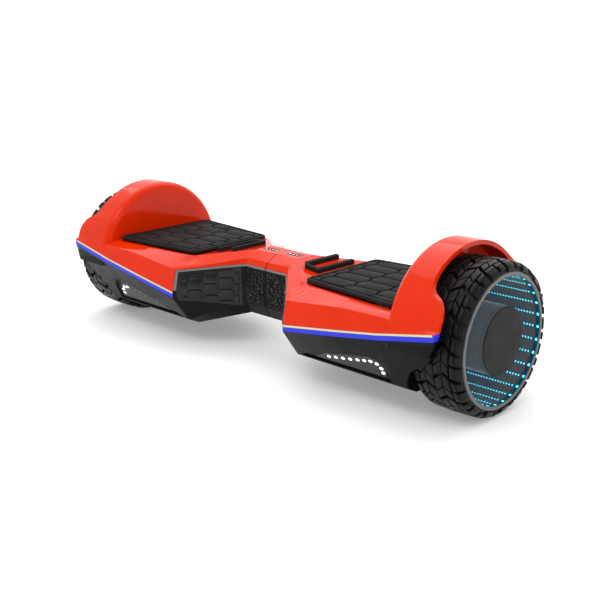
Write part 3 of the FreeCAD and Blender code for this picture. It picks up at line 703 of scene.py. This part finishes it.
TREAD_PITCHES = 17
TREAD_RISE = 4.2
CARCASS_RADIUS = 80.8
TYRE_CENTRE = 292.0
CROWN_HALF = 23.8
CROWN_DROP = 0.7
SHOULDER_RADIUS = 5.5
SHOULDER_FADE = 0.66


def tread_point(t, h):
    """The place (x, radius) at t across the tread, raised by h: a flat crown and rounded shoulders."""
    side = 1 if t >= 0 else -1
    t = abs(t)
    turn_length = SHOULDER_RADIUS * math.pi / 2
    if t <= CROWN_HALF:
        turn, x, r = 0.0, t, CARCASS_RADIUS - CROWN_DROP * (t / CROWN_HALF) ** 2
    elif t <= CROWN_HALF + turn_length:
        turn = (t - CROWN_HALF) / SHOULDER_RADIUS
        x = CROWN_HALF + SHOULDER_RADIUS * math.sin(turn)
        r = CARCASS_RADIUS - CROWN_DROP - SHOULDER_RADIUS * (1 - math.cos(turn))
    else:
        turn = math.pi / 2
        x = CROWN_HALF + SHOULDER_RADIUS
        r = CARCASS_RADIUS - CROWN_DROP - SHOULDER_RADIUS - (t - CROWN_HALF - turn_length)
    fade = 1 - SHOULDER_FADE * turn / (math.pi / 2)
    h = h * fade if h > 0 else h
    return side * (x + h * math.sin(turn)), r + h * math.cos(turn)


def tread_blocks():
    """One pitch of the tread as outlines: t across in millimetres, and a share of the pitch along."""
    centre = [
        [(0.5, 0.02), (9.6, 0.24), (9.6, 0.62), (0.5, 0.36)],
        [(0.5, 0.40), (9.6, 0.66), (9.6, 1.10), (0.5, 0.88)],
    ]
    middle = [
        [(10.4, 0.30), (18.2, 0.10), (18.2, 0.40), (10.4, 0.66)],
        [(10.4, 0.70), (18.2, 0.44), (18.2, 0.94), (10.4, 1.16)],
    ]
    shoulder = [
        [(20.0, 0.06), (24.6, 0.00), (24.6, 0.42), (20.0, 0.50)],
        [(20.0, 0.58), (24.6, 0.50), (24.6, 0.84), (20.0, 0.92)],
    ]
    lugs = [
        [(24.9, 0.00), (31.6, -0.04), (31.6, 0.40), (24.9, 0.42)],
        [(24.9, 0.56), (28.6, 0.54), (28.6, 0.82), (24.9, 0.84)],
    ]
    right = centre + middle + shoulder + lugs
    left = [[(-t, a + 0.5) for t, a in reversed(block)] for block in right]
    return right + left


def tread_pitch():
    """The solid blocks of one pitch, flat: x is across, y along and z up from the carcass."""
    pitch = 2 * math.pi * CARCASS_RADIUS / TREAD_PITCHES
    made = bmesh.new()
    for block in tread_blocks():
        shape = [Vector((t, a * pitch)) for t, a in block]
        if sum(p.cross(q) for p, q in zip(shape, shape[1:] + shape[:1])) < 0:
            shape.reverse()
        add_tile(made, shape, lambda u, v, h: (u, v, h), TREAD_RISE, TILE_EDGE)
    for normal, step, cuts in (((1, 0, 0), 3.1, range(-11, 12)), ((0, 1, 0), 4.0, range(-1, 8))):
        for i in cuts:
            whole = list(made.verts) + list(made.edges) + list(made.faces)
            bmesh.ops.bisect_plane(made, geom=whole, plane_co=Vector(normal) * (i * step), plane_no=normal)
    return made


def tyre_mesh():
    """The tyre: a carcass and the tread blocks of every pitch round it."""
    across = [i * 1.3 for i in range(-25, 26)]
    outer = [tread_point(t, 0) for t in across]
    rim_x = 29.5
    inner = [(rim_x, 75.0), (25.0, 75.0), (25.0, 72.2), (-rim_x, 72.2)]
    profile = [(TYRE_CENTRE + x, r) for x, r in outer] + [(TYRE_CENTRE + x, r) for x, r in inner]
    made = ring_mesh(profile, 112)
    flat = tread_pitch()
    mesh = bpy.data.meshes.new("pitch")
    flat.to_mesh(mesh)
    flat.free()
    for pitch in range(TREAD_PITCHES):
        start = len(made.verts)
        made.from_mesh(mesh)
        made.verts.ensure_lookup_table()
        for vert in made.verts[start:]:
            t, along, h = vert.co
            x, r = tread_point(t, h)
            turn = along / CARCASS_RADIUS + 2 * math.pi * pitch / TREAD_PITCHES
            vert.co = (TYRE_CENTRE + x, r * math.sin(turn), AXLE_Z + r * math.cos(turn))
    bpy.data.meshes.remove(mesh)
    return made


def wheel_sizes():
    """The planes and radii of the wheel's face, in millimetres, from the CAD model."""
    ring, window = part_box("right_bezel"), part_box("right_wheel_window")
    mirror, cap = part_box("right_mirror"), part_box("right_hub_cap")
    return {
        "bezel_back": ring[0].x / MM, "bezel_face": ring[1].x / MM, "bezel_radius": ring[1].y / MM,
        "bore": window[1].y / MM, "window_back": window[0].x / MM, "window_face": window[1].x / MM,
        "mirror_face": mirror[1].x / MM, "mirror_back": mirror[0].x / MM,
        "cap_radius": cap[1].y / MM, "cap_face": cap[1].x / MM, "cap_back": cap[0].x / MM,
    }


def bezel_mesh(s):
    corners = [(s["bezel_back"], s["bore"]), (s["bezel_face"], s["bore"] + 0.3),
               (s["bezel_face"], s["bezel_radius"] - 0.2), (s["bezel_back"], s["bezel_radius"])]
    return ring_mesh(rounded_profile(corners, 0.7), 128)


def hub_cap_mesh(s):
    """The dark cap: a flat face with a soft edge, closed at its middle, and a barrel with a faint painted
    glow of the LEDs' light on it.
    """
    r, face, back = s["cap_radius"], s["cap_face"], s["cap_back"]
    face_start = face - 1.3
    barrel = [(back, 0.01), (back, r - 0.1), (face - 1.4, r - 0.1)]
    edge = [(face - 0.9, r - 0.18), (face - 0.35, r - 0.6), (face - 0.1, r - 1.2), (face, r - 2.2)]
    made = ring_mesh(barrel + edge + [(face, 20.0), (face, 0.01)], 96, closed=False)
    bmesh.ops.remove_doubles(made, verts=made.verts, dist=0.02)
    for polygon in made.faces:
        polygon.material_index = 1 if max(vert.co.x for vert in polygon.verts) < face_start else 0
    return made


def window_mesh(s):
    """The window as a thin ring; its back face has the coating."""
    corners = [(s["window_back"], s["cap_radius"]), (s["window_face"], s["cap_radius"]),
               (s["window_face"], s["bore"] - 0.05), (s["window_back"], s["bore"] - 0.05)]
    made = ring_mesh(corners, 128)
    for face in made.faces:
        flat = all(abs(vert.co.x - s["window_back"]) < 0.01 for vert in face.verts)
        face.material_index = 1 if flat else 0
    return made


def led_wall_mesh(s):
    """The dark wall of the mirror box, from behind the mirror to the bezel's back; its faint glow is painted
    light from the LEDs.
    """
    start, end = s["mirror_back"] - 3.0, s["bezel_back"]
    inner, outer = s["bore"], s["bore"] + 1.8
    return ring_mesh([(start, inner), (end, inner), (end, outer), (start, outer)], 128)


def sleeve_mesh(s):
    """The lit sleeve inside the bezel, in front of the window."""
    inner, outer = s["bore"] - 0.3, s["bore"] + 0.1
    start, end = s["bezel_back"] + 0.05, s["bezel_face"] - 0.7
    return ring_mesh([(start, inner), (end, inner), (end, outer), (start, outer)], 128)


LED_LEVELS = ((1.0, 0.0), (0.85, 0.6), (0.5, 0.9))


def dots_mesh(x, radius, length, width, rise):
    """Small lit lenses on the inside of the wheel's bore, spaced evenly."""
    made = bmesh.new()
    levels = [(share, rise * lift) for share, lift in LED_LEVELS]
    for i in range(LED_COUNT):
        turn = 2 * math.pi * (i + 0.5) / LED_COUNT
        out = Vector((0, math.sin(turn), math.cos(turn)))
        side = Vector((0, math.cos(turn), -math.sin(turn)))
        centre = Vector((x, 0, AXLE_Z)) + out * radius
        dome(made, centre, Vector((1, 0, 0)), side, -out, levels, length, width, 10)
    return made


def wheels():
    s = wheel_sizes()
    both("tyre_with_tread", tyre_mesh, TYRE, "wheel", "tyre_rubber", ["tyre"], smooth=30)
    both("bezel_ring", lambda: bezel_mesh(s), BEZEL, "wheel", "bezel_grey", ["bezel"])
    both("cap", lambda: hub_cap_mesh(s), [CAP, WALL_PAINTED_GLOW], "wheel", "cap_grey", ["hub_cap"], smooth=50)
    both("window", lambda: window_mesh(s), [CLEAR, ONE_WAY], "wheel", "tinted_window", ["wheel_window"])
    both("led_wall", lambda: led_wall_mesh(s), WALL_PAINTED_GLOW, "wheel", "led_cyan", ["led_ring"])
    both("led_sleeve", lambda: sleeve_mesh(s), TEAL, "wheel", "led_cyan")
    both("led_dots", lambda: dots_mesh(s["mirror_face"], s["bore"] - 0.02, 1.4, 2.4, 0.3),
         CYAN, "wheel", "led_cyan")
    both("led_lenses", lambda: dots_mesh(s["bezel_back"] + 2.4, s["bore"] + 0.1, 3.2, 4.0, 0.7),
         CYAN, "wheel", "led_cyan")
    for side in SIDES:
        paint(f"{side}_mirror", MIRROR)


# Casing

def paint(node, material):
    made = nodes[node]
    made.data.materials.clear()
    made.data.materials.append(material)
    for polygon in made.data.polygons:
        polygon.use_smooth = True
    made.data.set_sharp_from_angle(angle=math.radians(30))


def casing():
    for side in SIDES:
        body = f"{side}_half"
        softened(f"{side}_upper_shell", RED, body, "shell_red", 2.2)
        softened(f"{side}_lower_shell", BLACK, body, "shell_black", 1.0)
        softened(f"{side}_edge_rib", RUBBER, body, "rubber_black", 0.9)
        softened(f"{side}_inner_panels", PANEL, body, "rubber_black", 0.4)
        paint(f"{side}_headlight_lens", SMOKED)
        paint(f"{side}_indicator_window", WINDOW_BLACK)
        paint(f"{side}_light_strips", BLUE)
        inset = nodes[f"{side}_light_strips"].modifiers.new("inset", "DISPLACE")
        inset.strength = -0.0002
        inset.mid_level = 0


HIDDEN = {
    "frame": CAST, "axle": STEEL, "stator": LAMINATION, "axle_clamp": CAST, "screws": STEEL,
    "gyro_board": BOARD, "headlight_board": BOARD, "rim": CAST, "inner_cover": CAST, "magnets": STEEL,
    "wheel_bearings": STEEL,
}
SINGLE = {
    "centre_tube": STEEL, "tube_clip": STEEL, "pivot_bushes": BUSH, "battery_pack": BATTERY,
    "charge_socket": BLACK, "charge_port_cap": RUBBER, "main_board": BOARD, "speaker": SPEAKER,
    "power_button": BLACK,
}


def inner_pieces():
    for side in SIDES:
        for name, material in HIDDEN.items():
            paint(f"{side}_{name}", material)
    for name, material in SINGLE.items():
        paint(name, material)


# Stage

FLOOR_REACH = 30
FLOOR_GLOW = 0.22


def stage():
    floor_mesh = bpy.data.meshes.new("floor")
    corners = rectangle(-FLOOR_REACH, -FLOOR_REACH, FLOOR_REACH, FLOOR_REACH)
    floor_mesh.from_pydata([(x, y, 0) for x, y in corners], [], [(0, 1, 2, 3)])
    floor = bpy.data.objects.new("floor", floor_mesh)
    bpy.context.scene.collection.objects.link(floor)
    look = Look("pale_floor", (0.9, 0.9, 0.9), 0.7, Specular_IOR_Level=0.0)
    look.spread(look.noise(2), (0.895, 0.895, 0.895), (0.905, 0.905, 0.905), "Base Color")
    look.set("Emission Color", (1, 1, 1, 1))
    look.set("Emission Strength", FLOOR_GLOW)
    floor_mesh.materials.append(look.material)


def area_light(name, place, target, width, height, power, color=(1, 1, 1)):
    data = bpy.data.lights.new(name, "AREA")
    data.shape = "RECTANGLE"
    data.size, data.size_y = width, height
    data.energy = power
    data.color = color
    made = bpy.data.objects.new(name, data)
    made.location = place
    made.rotation_euler = (Vector(target) - Vector(place)).to_track_quat("-Z", "Y").to_euler()
    bpy.context.scene.collection.objects.link(made)


BRIGHT_SIDE = (-0.6, 0.7, 0.4)


def lights():
    """A world that is brighter toward one side, and three soft lamps."""
    world = bpy.data.worlds.new("studio")
    bpy.context.scene.world = world
    world.use_nodes = True
    tree = world.node_tree
    background = tree.nodes["Background"]
    background.inputs["Color"].default_value = (1, 1, 1, 1)
    place = tree.nodes.new("ShaderNodeTexCoord")
    toward = tree.nodes.new("ShaderNodeVectorMath")
    toward.operation = "DOT_PRODUCT"
    toward.inputs[1].default_value = BRIGHT_SIDE
    spread = tree.nodes.new("ShaderNodeMapRange")
    for name, value in (("From Min", -0.8), ("From Max", 0.5), ("To Min", 0.55), ("To Max", 1.1)):
        spread.inputs[name].default_value = value
    tree.links.new(place.outputs["Generated"], toward.inputs[0])
    tree.links.new(toward.outputs["Value"], spread.inputs["Value"])
    tree.links.new(spread.outputs["Result"], background.inputs["Strength"])
    area_light("top", (-0.5, 0.7, 1.6), (0, 0, 0), 2.4, 1.6, 16)
    area_light("front", (0.2, -1.0, 1.5), (0, 0, 0), 1.0, 0.7, 6)
    area_light("right", (1.9, -0.3, 0.9), (0.2, 0, 0.1), 0.9, 0.9, 2)


CAMERA_PLACE = (0.8499, -0.8595, 0.4192)
CAMERA_TARGET = (0.027, 0.0, 0.0705)
LENS = 59.8


def camera():
    data = bpy.data.cameras.new("camera")
    data.lens = LENS
    data.sensor_width = 36
    data.clip_start = 0.01
    made = bpy.data.objects.new("camera", data)
    made.location = CAMERA_PLACE
    aim = Vector(CAMERA_TARGET) - Vector(CAMERA_PLACE)
    made.rotation_euler = aim.to_track_quat("-Z", "Y").to_euler()
    bpy.context.scene.collection.objects.link(made)
    bpy.context.scene.camera = made


camera()
stage()
lights()
casing()
panel_tiles()
trims()
foot_pads()
wheels()
inner_pieces()

scene = bpy.context.scene
scene.view_settings.view_transform = "Standard"
scene.cycles.max_bounces = 64
scene.cycles.glossy_bounces = 64
scene.cycles.transparent_max_bounces = 64

bpy.context.view_layer.update()
